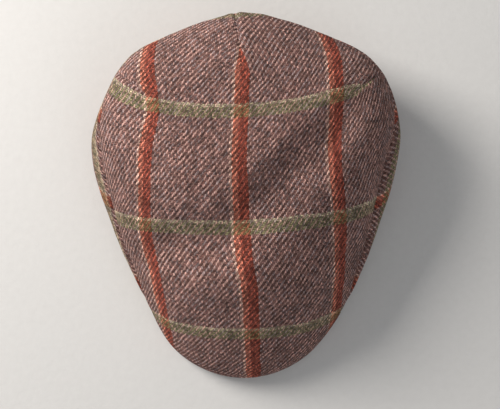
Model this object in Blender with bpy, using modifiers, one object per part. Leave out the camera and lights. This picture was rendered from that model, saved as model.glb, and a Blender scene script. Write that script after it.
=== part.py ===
"""A sewn-down tweed flat cap, laid flat on its rim with the peak towards -Y.

The head oval sets the rim. One surface describes the whole outside of the cap: from the
rim up the bellied side, over the top seam and across the pillowy top, with the front of
the top folded down over the peak's edge. Every sheet follows that surface at its own
depth, so cloth, interlining and lining nest inside one another.
"""

import math

import bmesh
import bpy
import numpy as np

# Driving sizes, in metres.
HEAD_LENGTH = 0.201  # inside of the sweatband, brow to nape
HEAD_WIDTH = 0.168  # inside of the sweatband, temple to temple
CROWN_HEIGHT = 0.106  # rim to the highest point of the top
BROW_RIDGE = 0.074  # height that the ridge of the top falls to on its way to the peak's edge
PEAK_DEPTH = 0.0495  # rim to the peak's front edge
PEAK_EDGE = 0.007  # height of the cloth fold round the peak's edge
PEAK_RISE = 0.012  # arch of the brow above the rim
PEAK_LIFT = 0.005  # lift of the peak's front edge above the rim
RIM_BAND = 0.004  # upright strip at the foot of the side panels

# Sheet thicknesses and the clearance between two sheets.
CLOTH = 0.0020
INTERLINING = 0.0008
LINING = 0.0004
SWEATBAND = 0.0010
BACKING = 0.0008
PEAK_COVER = 0.0015
PEAK_BOARD = 0.0016
TAPE = 0.0004
GAP = 0.0003
SEAM_CLEARANCE = 0.0006  # between the edges of two sheets that are sewn together

# The sweatband and what is sewn on it.
BAND_HEIGHT = 0.028
BAND_LIFT = 0.001  # the band's lower edge above the rim
BACKING_INSET = 0.004  # the backing stops short of the band's two edges by this
PIPING_RADIUS = 0.0009
ELASTIC_HEIGHT = 0.020
TAB_SIZE = (0.010, 0.016)  # blank tab on the band: width, height
PATCH_SIZE = (0.056, 0.036)  # blank patch under the top: width, length
TAPE_REACH = 0.004  # the lining tape covers the seam by this on each side

# The lining hangs this much deeper at the top than at the rim.
LINING_SLACK = 0.0016
LINING_BROW = 0.010  # how far the lining's brow fold stands out from the rim

# Angles round the head, in degrees: -90 is the front, 0 the right side, 90 the back.
COLUMN_STEP = 9.0
SIDE_END = -54.0  # where the side panel runs out on the peak's edge
FOOT_TURN = -28.0  # where the foot of the side panel leaves the rim for the peak's edge
BROW_CORNER = -30.0  # where the brow arch starts
PEAK_CORNER = -36.0
ELASTIC_START = 45.0  # where the elasticated back of the sweatband starts

# The top seam, as (angle, reach beyond the rim, height above the foot).
TOP_SEAM = (
    (-90.0, PEAK_DEPTH, PEAK_EDGE),
    (-72.0, 0.0438, PEAK_EDGE),
    (-54.0, 0.0275, 0.0085),
    (-40.0, 0.0155, 0.0190),
    (-25.0, 0.0105, 0.0330),
    (-10.0, 0.0095, 0.0440),
    (5.0, 0.0140, 0.0510),
    (20.0, 0.0232, 0.0560),
    (42.0, 0.0258, 0.0590),
    (62.0, 0.0146, 0.0600),
    (76.0, 0.0112, 0.0600),
    (90.0, 0.0122, 0.0600),
)
# How far the side panel bellies out, and how round the top's edge is, as (angle, value).
BELLY = (
    (-90.0, 0.0),
    (-54.0, 0.0),
    (-40.0, 0.0063),
    (-25.0, 0.0094),
    (-5.0, 0.0140),
    (12.0, 0.0155),
    (28.0, 0.0096),
    (45.0, 0.0080),
    (90.0, 0.0044),
)
EDGE_ROUNDING = ((-90.0, 1.40), (-54.0, 1.45), (0.0, 1.80), (90.0, 1.90))
TOP_FULLNESS = 2.2

# Rows of the surface: shares of the way down the side, and of the way out to the seam.
SIDE_ROWS = (0.0, 0.12, 0.28, 0.45, 0.62, 0.80, 1.0)
TOP_ROWS = (1.0, 0.985, 0.95, 0.88, 0.77, 0.62, 0.42, 0.21)
PEAK_ROWS = (0.0, 0.33, 0.67, 1.0)
INTERLINING_RING = 2  # the top's interlining stops at this ring, short of the seam allowance

COLOURS = {
    "tweed": (0.150, 0.093, 0.080, 1.0),
    "canvas": (0.62, 0.58, 0.50, 1.0),
    "satin": (0.105, 0.060, 0.050, 1.0),
    "board": (0.08, 0.08, 0.085, 1.0),
    "band": (0.060, 0.036, 0.028, 1.0),
    "elastic": (0.75, 0.74, 0.70, 1.0),
    "label": (0.78, 0.74, 0.64, 1.0),
}
ROUGHNESS = {"tweed": 0.95, "canvas": 0.95, "satin": 0.40, "board": 0.60, "band": 0.55}


def ease(share):
    """A smooth step from 0 to 1."""
    share = np.clip(share, 0.0, 1.0)
    return share * share * (3.0 - 2.0 * share)


def through(table, column, angle):
    """A smooth curve through a table's values, flat at the front and the back."""
    known = np.array([row[0] for row in table])
    value = np.array([row[column] for row in table])
    slope = np.gradient(value, known)
    slope[0] = slope[-1] = 0.0
    angle = np.asarray(angle, float)
    after = np.clip(np.searchsorted(known, angle, side="right"), 1, len(known) - 1)
    width = known[after] - known[after - 1]
    t = (angle - known[after - 1]) / width
    start = (1 + 2 * t) * (1 - t) ** 2 * value[after - 1] + t * (1 - t) ** 2 * width * slope[after - 1]
    end = t * t * (3 - 2 * t) * value[after] + t * t * (t - 1) * width * slope[after]
    return start + end


def half_turn(angle):
    """The same angle on the right-hand half of the cap, from -90 to 90."""
    return np.degrees(np.arcsin(np.clip(np.sin(np.radians(angle)), -1.0, 1.0)))


def rim_stack():
    """Everything sewn together at the rim, from the outside to the head."""
    return CLOTH + INTERLINING + LINING + BACKING + SWEATBAND + 4 * GAP


def rim_radius(angle):
    """Distance from the head's centre to the outside of the rim."""
    across = HEAD_WIDTH / 2 + rim_stack()
    along = HEAD_LENGTH / 2 + rim_stack()
    turn = np.radians(angle)
    return across * along / np.hypot(along * np.cos(turn), across * np.sin(turn))


def polar(radius, angle, height):
    turn = np.radians(angle)
    return np.stack(np.broadcast_arrays(radius * np.cos(turn), radius * np.sin(turn), height), axis=-1)


def unit(vectors):
    return vectors / np.linalg.norm(vectors, axis=-1, keepdims=True)


def edge_point(radius_at, angle, depth, height):
    """A point on an outline given by its radius, moved in square to the outline by depth."""
    step = COLUMN_STEP / 2
    after = polar(radius_at(angle + step), angle + step, 0.0)
    before = polar(radius_at(angle - step), angle - step, 0.0)
    along = unit(after - before)
    outward = np.stack([along[..., 1], -along[..., 0], along[..., 2]], axis=-1)
    point = polar(radius_at(angle), angle, 0.0) - outward * np.asarray(depth)[..., None]
    point[..., 2] = height
    return point


def rim_point(angle, depth, height):
    """A point on the rim, moved in towards the head by depth."""
    return edge_point(rim_radius, angle, depth, height)


def brow_height(angle):
    """Height of the head opening's edge, which arches over the brow."""
    angle = half_turn(angle)
    return PEAK_RISE * ease((BROW_CORNER - angle) / (BROW_CORNER + 90.0))


def foot_height(angle):
    angle = half_turn(angle)
    return PEAK_LIFT * ease((SIDE_END - angle) / (SIDE_END + 90.0))


def seam_radius(angle):
    return rim_radius(angle) + through(TOP_SEAM, 1, half_turn(angle))


def seam_height(angle):
    return foot_height(angle) + through(TOP_SEAM, 2, half_turn(angle))


def foot_radius(angle):
    """The foot follows the rim at the back and sides, and the peak's edge at the front."""
    share = ease((FOOT_TURN - half_turn(angle)) / (FOOT_TURN - SIDE_END))
    return rim_radius(angle) + share * (seam_radius(angle) - rim_radius(angle))


def top_point(angle, radius):
    """A point of the top at a distance from the head's centre."""
    share = np.clip(radius / seam_radius(angle), 0.0, 1.0)
    forward = np.clip(-radius * np.sin(np.radians(angle)) / seam_radius(-90.0), 0.0, 1.0)
    ridge = CROWN_HEIGHT - (CROWN_HEIGHT - BROW_RIDGE) * forward**1.3
    rounding = through(EDGE_ROUNDING, 1, half_turn(angle))
    full = (1.0 - share**TOP_FULLNESS) ** (1.0 / rounding)
    edge = seam_height(angle)
    return polar(radius, angle, edge + (ridge - edge) * full)


def side_point(angle, share, top, foot, bottom):
    """A point of the side, a share of the way from its seam down to its foot."""
    belly = through(BELLY, 1, half_turn(angle)) * np.sin(math.pi * share)
    radius = top[0] + (foot - top[0]) * share**1.6 + belly
    return polar(radius, angle, top[1] + (bottom - top[1]) * share)


def surface(angles, seam, foot, bottom):
    """Rows of points from the foot up to the seam and in to the crown, one column an angle."""
    rows = [polar(foot, angles, bottom)]
    edge = (seam, top_point(angles, seam)[..., 2])
    band = np.minimum(RIM_BAND, (edge[1] - bottom) / 3)
    for share in reversed(SIDE_ROWS[1:]):
        rows.append(side_point(angles, share, edge, foot, bottom + band))
    for share in TOP_ROWS:
        rows.append(top_point(angles, share * seam))
    rows.append(top_point(angles, 0.0 * seam))
    return np.array(rows)


def around(rows):
    """Unit normals of rows of points that run right round the cap, facing out."""
    along = np.roll(rows, -1, axis=1) - np.roll(rows, 1, axis=1)
    steps = unit(np.diff(rows, axis=0))
    upward = np.concatenate([steps[:1], steps[:-1] + steps[1:], steps[-1:]])
    normal = np.cross(along, upward)
    normal[-1] = (0.0, 0.0, 1.0)
    return unit(normal)


ANGLES = np.arange(-90.0, 270.0, COLUMN_STEP)
SEAM_ROW = len(SIDE_ROWS)
OUTSIDE = surface(ANGLES, seam_radius(ANGLES), foot_radius(ANGLES), foot_height(ANGLES))
OUTSIDE_NORMALS = around(OUTSIDE)
# The head oval's centre lies this far along Y from the middle of the cap's length.
HEAD_CENTRE_Y = -(OUTSIDE[..., 1].max() + OUTSIDE[..., 1].min()) / 2


def collection_named(name):
    collection = bpy.data.collections.new(name)
    bpy.context.scene.collection.children.link(collection)
    return collection


def material_named(name):
    material = bpy.data.materials.new(name)
    material.use_nodes = True
    shader = material.node_tree.nodes["Principled BSDF"]
    shader.inputs["Base Color"].default_value = COLOURS[name]
    shader.inputs["Roughness"].default_value = ROUGHNESS.get(name, 0.9)
    shader.inputs["Metallic"].default_value = 0.0
    return material


def placed(obj, collection, material):
    """Puts an object in the cap's frame, with its material."""
    obj.location.y += HEAD_CENTRE_Y
    obj.data.materials.append(bpy.data.materials[material])
    for other in list(obj.users_collection):
        other.objects.unlink(obj)
    collection.objects.link(obj)
    return obj


def sheet(name, points, faces, thickness, collection, material):
    """An open surface whose thickness goes inwards from it."""
    mesh = bpy.data.meshes.new(name)
    mesh.from_pydata([tuple(point) for point in points], [], faces)
    mesh.validate()
    shell = bmesh.new()
    shell.from_mesh(mesh)
    loose = [vertex for vertex in shell.verts if not vertex.link_faces]
    bmesh.ops.delete(shell, geom=loose, context="VERTS")
    shell.to_mesh(mesh)
    shell.free()
    obj = bpy.data.objects.new(name, mesh)
    bpy.context.scene.collection.objects.link(obj)
    solidify = obj.modifiers.new("Thickness", "SOLIDIFY")
    solidify.thickness = thickness
    solidify.offset = -1.0
    obj.data.shade_smooth()
    return placed(obj, collection, material)


def grid_faces(rows, columns, closed=False):
    """Faces between rows of points whose columns run anticlockwise, facing out.

    Each cell is two triangles, so that nested sheets bend along the same diagonals.
    """
    faces = []
    last = columns if closed else columns - 1
    for row in range(rows - 1):
        for column in range(last):
            following = (column + 1) % columns
            here = row * columns
            above = here + columns
            faces.append((here + column, here + following, above + following))
            faces.append((here + column, above + following, above + column))
    return faces


def ribbon(name, rows, thickness, collection, material):
    """A strip through rows of points, lowest row first."""
    rows = np.asarray(rows)
    faces = grid_faces(len(rows), rows.shape[1])
    return sheet(name, rows.reshape(-1, 3), faces, thickness, collection, material)


def dome(name, rows, thickness, collection, material, lip=None):
    """Rings of points closed by a crown point, with an optional strip folded down at the front."""
    rings = rows[:-1]
    count = rings.shape[1]
    points = list(rings.reshape(-1, 3)) + [rows[-1].mean(axis=0)]
    faces = grid_faces(len(rings), count, closed=True)
    crown = len(points) - 1
    inner = (len(rings) - 1) * count
    faces += [(inner + column, inner + (column + 1) % count, crown) for column in range(count)]
    if lip is not None:
        columns, foot = lip
        start = len(points)
        points += list(foot)
        for place in range(len(columns) - 1):
            first, second = columns[place], columns[place + 1]
            faces.append((start + place, start + place + 1, second, first))
    return sheet(name, points, faces, thickness, collection, material)


def inset(rows, normals, depth):
    return rows - normals * depth


def front_columns(limit):
    """Columns of the front of the cap, from the left limit round to the right one."""
    turned = np.where(ANGLES > 180.0, ANGLES - 360.0, ANGLES)
    chosen = np.flatnonzero((turned <= limit + 1e-6) & (turned >= -180.0 - limit - 1e-6))
    return chosen[np.argsort(turned[chosen])]


def cloth_top(collection):
    columns = front_columns(SIDE_END)
    foot = OUTSIDE[0, columns]
    return dome("crown_top_panel", OUTSIDE[SEAM_ROW:], CLOTH, collection, "tweed", lip=(columns, foot))


def centre_gap(thickness):
    """How far a sheet's edge stays from the middle plane, so that its inner edge clears it too."""
    return GAP / 2 + thickness * math.sin(math.radians(COLUMN_STEP / 2))


def below_seam(rows):
    """The top row of a side sheet, moved down clear of the top's edge."""
    rows[-1] += unit(rows[-2] - rows[-1]) * SEAM_CLEARANCE
    return rows


def side_rows(depth, thickness, lift, start):
    """Rows of one side sheet, from the foot to just below the top seam."""
    columns = np.flatnonzero((ANGLES >= start - 1e-6) & (ANGLES <= 90.0 + 1e-6))
    rows = below_seam(inset(OUTSIDE, OUTSIDE_NORMALS, depth)[: SEAM_ROW + 1, columns].copy())
    rows[0, :, 2] = lift
    rows[:, 0] += unit(rows[:, 1] - rows[:, 0]) * 2 * SEAM_CLEARANCE
    rows[:, -1, 0] = centre_gap(thickness)
    return rows


def mirrored(rows):
    """The same rows on the other side of the cap, still running anticlockwise."""
    return (rows * np.array([-1.0, 1.0, 1.0]))[:, ::-1]


def side_pair(name, rows, thickness, collection, material):
    ribbon(name + "_right", rows, thickness, collection, material)
    ribbon(name + "_left", mirrored(rows), thickness, collection, material)


def cloth_sides(collection):
    side_pair("side_panel", side_rows(0.0, CLOTH, 0.0, SIDE_END), CLOTH, collection, "tweed")


def interlinings(collection):
    depth = CLOTH + GAP
    rows = inset(OUTSIDE, OUTSIDE_NORMALS, depth)[SEAM_ROW + INTERLINING_RING :]
    dome("top_interlining", rows, INTERLINING, collection, "canvas")
    side = side_rows(depth, INTERLINING, BAND_LIFT, SIDE_END + COLUMN_STEP)
    side_pair("side_interlining", side, INTERLINING, collection, "canvas")


def lining_surface():
    """The lining follows the outside at the back and sides, and folds down at the brow."""
    front = half_turn(ANGLES) < BROW_CORNER
    reach = np.where(front, LINING_BROW, seam_radius(ANGLES) - rim_radius(ANGLES))
    rows = surface(ANGLES, rim_radius(ANGLES) + reach, rim_radius(ANGLES), brow_height(ANGLES))
    normals = around(rows)
    normals[SEAM_ROW, front] = normals[SEAM_ROW + 1, front]
    depth = CLOTH + INTERLINING + 2 * GAP
    slack = np.full(len(rows), LINING_SLACK)
    slack[:SEAM_ROW] = LINING_SLACK * np.linspace(0.0, 1.0, SEAM_ROW)
    rows = inset(rows, normals, depth + slack[:, None, None])
    rows[0] = rim_point(ANGLES, depth, brow_height(ANGLES) + BAND_LIFT)
    upright = rim_point(ANGLES[front], depth, brow_height(ANGLES[front]) + peak_stack() + RIM_BAND / 2)
    fold = rows[SEAM_ROW, front]
    for place in range(1, SEAM_ROW):
        rows[place, front] = upright + (fold - upright) * (place - 1) / (SEAM_ROW - 1)
    return rows


def linings(collection):
    rows = lining_surface()
    dome("lining_top", rows[SEAM_ROW:], LINING, collection, "satin")
    columns = np.flatnonzero(ANGLES <= 90.0 + 1e-6)
    side = below_seam(rows[: SEAM_ROW + 1, columns].copy())
    side[:, [0, -1], 0] = centre_gap(LINING)
    side_pair("lining_side", side, LINING, collection, "satin")
    lining_tapes(rows, collection)


def lining_tapes(rows, collection):
    """Tapes over the lining's two long seams, on the side of the head."""
    columns = np.flatnonzero((ANGLES >= BROW_CORNER - COLUMN_STEP) & (ANGLES <= 90.0 - COLUMN_STEP / 2))
    lower, seam, upper = inset(rows, around(rows), LINING + 2 * GAP)[SEAM_ROW - 1 : SEAM_ROW + 2, columns]
    strip = np.array([seam + unit(lower - seam) * TAPE_REACH, seam, seam + unit(upper - seam) * TAPE_REACH])
    side_pair("lining_seam_tape", strip, TAPE, collection, "satin")


def peak_stack():
    """Height of the peak's three layers, with the clearances between them."""
    return 2 * PEAK_COVER + PEAK_BOARD + 2 * GAP


def peak_surface(lift):
    """Rows of one peak sheet, from its outer edge in to the brow, at a height above its underside."""
    columns = front_columns(PEAK_CORNER)
    angles = ANGLES[columns]
    folded = half_turn(angles) < SIDE_END - 1e-6
    depth = np.where(folded, CLOTH + GAP, CLOTH + INTERLINING + 3 * GAP)
    edge = edge_point(foot_radius, angles, depth, foot_height(angles) + BAND_LIFT / 2 + lift)
    brow = rim_point(angles, CLOTH + INTERLINING, brow_height(angles) + lift)
    return np.array([edge + (brow - edge) * share for share in PEAK_ROWS])


def peak(collection):
    """The stiff board between its two cloth covers, lying one on the other."""
    layers = (
        ("peak_under_cover", PEAK_COVER, "tweed"),
        ("peak_board", PEAK_BOARD, "board"),
        ("peak_upper_cover", PEAK_COVER, "tweed"),
    )
    lift = 0.0
    for name, thickness, material in layers:
        ribbon(name, peak_surface(lift + thickness), thickness, collection, material)
        lift += thickness + GAP


def band_rows(depth, bottom, top, angles):
    brow = brow_height(angles)
    return [rim_point(angles, depth, brow + bottom), rim_point(angles, depth, brow + top)]


def band_angles(start, stop):
    """Column angles between two limits, with the ends drawn in to leave a gap between bands."""
    trim = math.degrees(GAP / (HEAD_WIDTH / 2))
    turns = np.concatenate([ANGLES, ANGLES + 360.0])
    inside = turns[(turns > start + trim) & (turns < stop - trim)]
    return np.concatenate([[start + trim], inside, [stop - trim]])


def sweatband(collection):
    """The band that touches the head: stiff round the front, elasticated at the back."""
    depth = rim_stack() - SWEATBAND
    behind = depth - GAP - BACKING
    back = band_angles(ELASTIC_START, 180.0 - ELASTIC_START)
    front = band_angles(180.0 - ELASTIC_START, 360.0 + ELASTIC_START)
    top = BAND_LIFT + BAND_HEIGHT
    ribbon("sweatband_front", band_rows(depth, BAND_LIFT, top, front), SWEATBAND, collection, "band")
    ribbon("sweatband_back", band_rows(depth, BAND_LIFT, top, back), SWEATBAND, collection, "band")
    low, high = BAND_LIFT + BACKING_INSET, top - BACKING_INSET
    ribbon("sweatband_backing", band_rows(behind, low, high, front), BACKING, collection, "canvas")
    middle = (low + high) / 2
    elastic = band_rows(behind, middle - ELASTIC_HEIGHT / 2, middle + ELASTIC_HEIGHT / 2, back)
    ribbon("back_elastic", elastic, BACKING, collection, "elastic")
    piping(depth + SWEATBAND / 2, top + GAP + PIPING_RADIUS, collection)
    size_tab(depth + SWEATBAND + GAP, collection)


def piping(depth, height, collection):
    """A cord sewn along the top edge of the sweatband."""
    points = rim_point(ANGLES, np.full(len(ANGLES), depth), brow_height(ANGLES) + height)
    curve = bpy.data.curves.new("sweatband_piping", "CURVE")
    curve.dimensions = "3D"
    curve.bevel_depth = PIPING_RADIUS
    curve.bevel_resolution = 1
    spline = curve.splines.new("POLY")
    spline.points.add(len(points) - 1)
    for place, point in zip(spline.points, points):
        place.co = (*point, 1.0)
    spline.use_cyclic_u = True
    obj = bpy.data.objects.new("sweatband_piping", curve)
    bpy.context.scene.collection.objects.link(obj)
    placed(obj, collection, "band")


def size_tab(depth, collection):
    """A blank tab flat against one facet of the sweatband, beside its elasticated back."""
    first, second = ANGLES[ANGLES < ELASTIC_START][-2:]
    ends = rim_point(np.array([first, second]), np.full(2, depth + TAPE / 2), 0.0)
    centre = ends.mean(axis=0)
    along = ends[1] - ends[0]
    bpy.ops.mesh.primitive_cube_add(size=1.0)
    obj = bpy.context.active_object
    obj.name = "size_tab"
    obj.data.name = "size_tab"
    obj.scale = (TAB_SIZE[0], TAPE, TAB_SIZE[1])
    obj.rotation_euler.z = math.atan2(along[1], along[0])
    obj.location = (centre[0], centre[1], BAND_LIFT + BAND_HEIGHT / 2)
    bpy.ops.object.transform_apply(location=False, rotation=False, scale=True)
    placed(obj, collection, "label")


def lining_patch(collection):
    """A blank patch sewn under the crown, following the lining."""
    across = np.linspace(-PATCH_SIZE[0] / 2, PATCH_SIZE[0] / 2, 7)
    along = np.linspace(-PATCH_SIZE[1] / 2, PATCH_SIZE[1] / 2, 5)
    x, y = np.meshgrid(across, along)
    radius = np.hypot(x, y)
    angle = np.degrees(np.arctan2(y, x))
    angle = np.where(angle < -90.0, angle + 360.0, angle)
    depth = CLOTH + INTERLINING + LINING + LINING_SLACK + 8 * GAP
    points = top_point(angle, radius) - (0.0, 0.0, depth)
    faces = grid_faces(len(along), len(across))
    sheet("lining_patch", points.reshape(-1, 3), faces, TAPE, collection, "label")


def main():
    for obj in list(bpy.data.objects):
        bpy.data.objects.remove(obj, do_unlink=True)
    for name in COLOURS:
        material_named(name)
    cap = collection_named("flat_cap")
    cloth_top(cap)
    cloth_sides(cap)
    interlinings(cap)
    linings(cap)
    lining_patch(cap)
    peak(cap)
    sweatband(cap)


main()
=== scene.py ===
"""Flat cap in checked tweed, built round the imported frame.

Every sheet follows one surface at its own depth: cloth, interlining, lining. The surface
runs from the rim up the bellied side, over the top seam and across the pillowy top.
Angles are in degrees round the head: -90 is the front, 0 the right side, 90 the back.
"""

import math

import bpy
import numpy as np
from bpy.props import FloatProperty, FloatVectorProperty, IntProperty, PointerProperty
from bpy.types import Operator, Panel, PropertyGroup
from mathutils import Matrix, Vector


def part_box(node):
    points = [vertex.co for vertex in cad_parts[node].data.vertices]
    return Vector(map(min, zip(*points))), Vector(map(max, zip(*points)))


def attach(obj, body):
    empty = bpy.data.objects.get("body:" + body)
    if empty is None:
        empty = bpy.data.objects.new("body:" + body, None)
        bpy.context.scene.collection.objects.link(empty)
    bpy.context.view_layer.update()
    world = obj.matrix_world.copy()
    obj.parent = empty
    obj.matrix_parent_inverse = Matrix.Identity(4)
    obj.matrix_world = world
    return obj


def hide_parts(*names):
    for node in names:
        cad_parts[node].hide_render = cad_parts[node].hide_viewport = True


bl_info = {
    "name": "Tweed Flat Cap",
    "version": (1, 0, 0),
    "blender": (4, 5, 0),
    "location": "3D View > Sidebar > Flat Cap",
    "description": "Builds a sewn-down flat cap in checked tweed, with its lining and sweatband",
    "category": "Add Mesh",
}

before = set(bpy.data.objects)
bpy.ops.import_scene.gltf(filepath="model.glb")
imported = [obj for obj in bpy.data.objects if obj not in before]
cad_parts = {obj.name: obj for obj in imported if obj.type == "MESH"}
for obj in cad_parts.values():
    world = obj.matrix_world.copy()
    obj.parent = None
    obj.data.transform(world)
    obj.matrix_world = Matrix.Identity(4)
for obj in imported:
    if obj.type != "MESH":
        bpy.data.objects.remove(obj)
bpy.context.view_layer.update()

# Where things begin and end round the head, in degrees.
SIDE_END = -54.0  # the side panels, which the fold over the peak's edge follows
FOOT_TURN = -28.0  # the foot leaves the rim for the peak's edge
BROW_CORNER = -30.0
PEAK_CORNER = -36.0
ELASTIC_START = 45.0
ELASTIC_END = 135.0
JOIN_GAP = 0.25  # each end of the band stops this far short of the join

RIM_BAND = 0.004  # the lowest, upright part of the side
BROW_ARCH = 0.012
PEAK_LIFT = 0.005

# Depths below the outside, in metres.
INTERLINING_DEPTH = 0.0023
LINING_DEPTH = 0.0034
BACKING_DEPTH = 0.0041
SWEATBAND_DEPTH = 0.0052
RIM_STACK = 0.0062
PATCH_DEPTH = 0.0073
LINING_SLACK = 0.0016  # and the lining hangs this much lower at the top
SEAM_TUCK = 0.0020  # the side cloth sinks this far to run under the top's edge

# Thicknesses of the linings and trims.
CANVAS_THICKNESS = 0.0008
SATIN_THICKNESS = 0.0004
LABEL_THICKNESS = 0.0004
BAND_THICKNESS = 0.0010

BACK_RADIUS = 0.11  # how far the side panels' ends are from the head's centre
BAND_TOP = 0.029  # above the edge of the head opening
PIPING_RADIUS = 0.0009
TAB_TURN = 31.5  # where the blank tab stands, in degrees
INTERLINING_SHARE = 0.86  # how much of the side's height its canvas covers

# The top seam's height above the foot and reach outside the rim, the side's belly between
# them, and the power that rounds the top's edge, each as (angle, value).
SEAM_HEIGHT = (
    (-90.0, 0.0070), (-72.0, 0.0070), (-54.0, 0.0085), (-40.0, 0.0190), (-25.0, 0.0330), (-10.0, 0.0440),
    (5.0, 0.0510), (20.0, 0.0560), (42.0, 0.0590), (62.0, 0.0600), (76.0, 0.0600), (90.0, 0.0600),
)
SEAM_REACH = (
    (-90.0, 0.0495), (-72.0, 0.0438), (-54.0, 0.0275), (-40.0, 0.0155), (-25.0, 0.0105), (-10.0, 0.0095),
    (5.0, 0.0140), (20.0, 0.0232), (42.0, 0.0258), (62.0, 0.0146), (76.0, 0.0112), (90.0, 0.0122),
)
BELLY = (
    (-90.0, 0.0), (-54.0, 0.0), (-40.0, 0.0063), (-25.0, 0.0094), (-5.0, 0.0140), (12.0, 0.0155),
    (28.0, 0.0096), (45.0, 0.0080), (90.0, 0.0044),
)
EDGE_ROUNDING = ((-90.0, 1.40), (-54.0, 1.45), (0.0, 1.80), (90.0, 1.90))

# Darts at the back of the top, as (angle, arc from the crown to the tip, cloth taken in per metre).
DARTS = ((38.0, 0.094, 0.55), (94.0, 0.072, 0.50), (142.0, 0.092, 0.55))
DART_SPREAD = 26.0  # the cloth turns over this many degrees on each side of a dart
DART_GROOVE = 0.00095
SIDE_STRIPE = 0.089  # a warp stripe leaves a side's seam this far round from its front end
SIDE_SHEAR = 0.60  # and leans back by this much of the distance below the seam
WEFT_STRIPE = 0.0423  # the first weft stripe crosses the top this far behind the crown
YARNS = ("Warp", "Weft", "Heather", "Rust", "Rose", "Guard", "Moss", "Straw")

# The worn top's crease, and its swells and hollows as (rise, x, width in x, y, width in y).
CREASE_DEPTH = 0.0090
SWELLS = (
    (0.0062, 0.006, 0.058, -0.080, 0.021),
    (0.0042, 0.054, 0.022, -0.068, 0.024),
    (0.0020, -0.044, 0.014, 0.002, 0.022),
    (-0.0009, -0.030, 0.026, 0.034, 0.006),
    (-0.0012, 0.036, 0.020, 0.062, 0.018),
)

FLOOR_DROP = 0.0002
CAMERA_PLACE = (0.0022, -0.0035, 0.80)
CAMERA_LENS = 72.6
WORLD_STRENGTH = 0.29
# Each light's name, place, width, power and colour.
LIGHTS = (
    ("key", (-0.92, 0.62, 0.76), 0.62, 22.5, (1.0, 0.96, 0.92)),
    ("fill", (0.7, -1.0, 1.0), 1.2, 4.0, (0.96, 0.97, 1.0)),
)


def length_property(label, description, default):
    return FloatProperty(name=label, description=description, default=default, unit="LENGTH")


def count_property(label, description, default):
    return IntProperty(name=label, description=description, default=default, min=1)


class CapSizes(PropertyGroup):
    """Sizes of the cap."""

    head_length: length_property("Head Length", "Inside of the sweatband from brow to nape", 0.201)
    head_width: length_property("Head Width", "Inside of the sweatband from temple to temple", 0.168)
    crown_height: length_property("Crown Height", "Rim to the highest point of the top", 0.106)
    brow_ridge: length_property("Brow Ridge", "Height that the top's ridge falls to towards the peak", 0.074)
    cloth: length_property("Cloth Thickness", "Thickness of the tweed", 0.0009)
    warp_pitch: length_property("Warp Pitch", "Distance between two warp yarns", 0.00095)
    pick_pitch: length_property("Pick Pitch", "Distance between two weft yarns", 0.0011)
    check_threads: count_property("Check Threads", "Warp yarns from one warp stripe to the next", 71)
    check_picks: count_property("Check Picks", "Weft yarns from one weft stripe to the next", 74)


def colour_property(label, description, default):
    limits = {"size": 3, "min": 0.0, "max": 1.0, "subtype": "COLOR"}
    return FloatVectorProperty(name=label, description=description, default=default, **limits)


class CapColours(PropertyGroup):
    """Colours of the yarns, linings and trims."""

    warp: colour_property("Warp", "Light yarn that runs from front to back", (0.450, 0.276, 0.236))
    weft: colour_property("Weft", "Dark yarn that runs from side to side", (0.122, 0.048, 0.040))
    heather: colour_property("Heather", "Cool yarn mixed into the light one", (0.240, 0.215, 0.225))
    rust: colour_property("Rust", "Deep yarn of the warp stripe", (0.375, 0.078, 0.046))
    rose: colour_property("Rose", "Paler yarn of the warp stripe", (0.670, 0.218, 0.138))
    guard: colour_property("Guard", "Palest yarn, beside the warp stripe", (0.780, 0.520, 0.420))
    moss: colour_property("Moss", "Yarn of the weft stripe", (0.180, 0.178, 0.080))
    straw: colour_property("Straw", "Paler yarn beside the weft stripe", (0.450, 0.400, 0.250))
    satin: colour_property("Satin", "Lining", (0.105, 0.050, 0.042))
    band: colour_property("Band", "Sweatband", (0.070, 0.036, 0.026))
    canvas: colour_property("Canvas", "Interlining and backing", (0.62, 0.57, 0.48))
    label: colour_property("Label", "Blank patch and tab", (0.70, 0.64, 0.52))


# ---------------------------------------------------------------- the surface


def ease(share):
    """A smooth step from 0 to 1: 3 s squared minus 2 s cubed."""
    share = np.clip(share, 0.0, 1.0)
    return share * share * (3.0 - 2.0 * share)


def hump(value, centre, width):
    """A bell curve of height 1: e to the minus squared distance over width squared."""
    return np.exp(-(((value - centre) / width) ** 2))


def through(table, angle):
    """A cubic Hermite curve through a table's values, flat at the front and the back."""
    known = np.array([row[0] for row in table])
    value = np.array([row[1] for row in table])
    slope = np.gradient(value, known)
    slope[0] = slope[-1] = 0.0
    angle = np.asarray(angle, float)
    after = np.clip(np.searchsorted(known, angle, side="right"), 1, len(known) - 1)
    width = known[after] - known[after - 1]
    t = (angle - known[after - 1]) / width
    start = (1 + 2 * t) * (1 - t) ** 2 * value[after - 1] + t * (1 - t) ** 2 * width * slope[after - 1]
    end = t * t * (3 - 2 * t) * value[after] + t * t * (t - 1) * width * slope[after]
    return start + end


def half_turn(angle):
    """The same angle on the right-hand half of the cap, from -90 to 90."""
    return np.degrees(np.arcsin(np.clip(np.sin(np.radians(angle)), -1.0, 1.0)))


def polar(radius, angle, height):
    """Radius times cosine and sine of the angle, with a height."""
    turn = np.radians(angle)
    return np.stack(np.broadcast_arrays(radius * np.cos(turn), radius * np.sin(turn), height), axis=-1)


def unit(vectors):
    return vectors / np.maximum(np.linalg.norm(vectors, axis=-1, keepdims=True), 1e-12)


def rim_radius(angle):
    """An ellipse about the head's centre: the head oval plus everything sewn at the rim."""
    sizes = bpy.context.scene.cap_sizes
    across = sizes.head_width / 2 + RIM_STACK
    along = sizes.head_length / 2 + RIM_STACK
    turn = np.radians(angle)
    return across * along / np.hypot(along * np.cos(turn), across * np.sin(turn))


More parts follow.
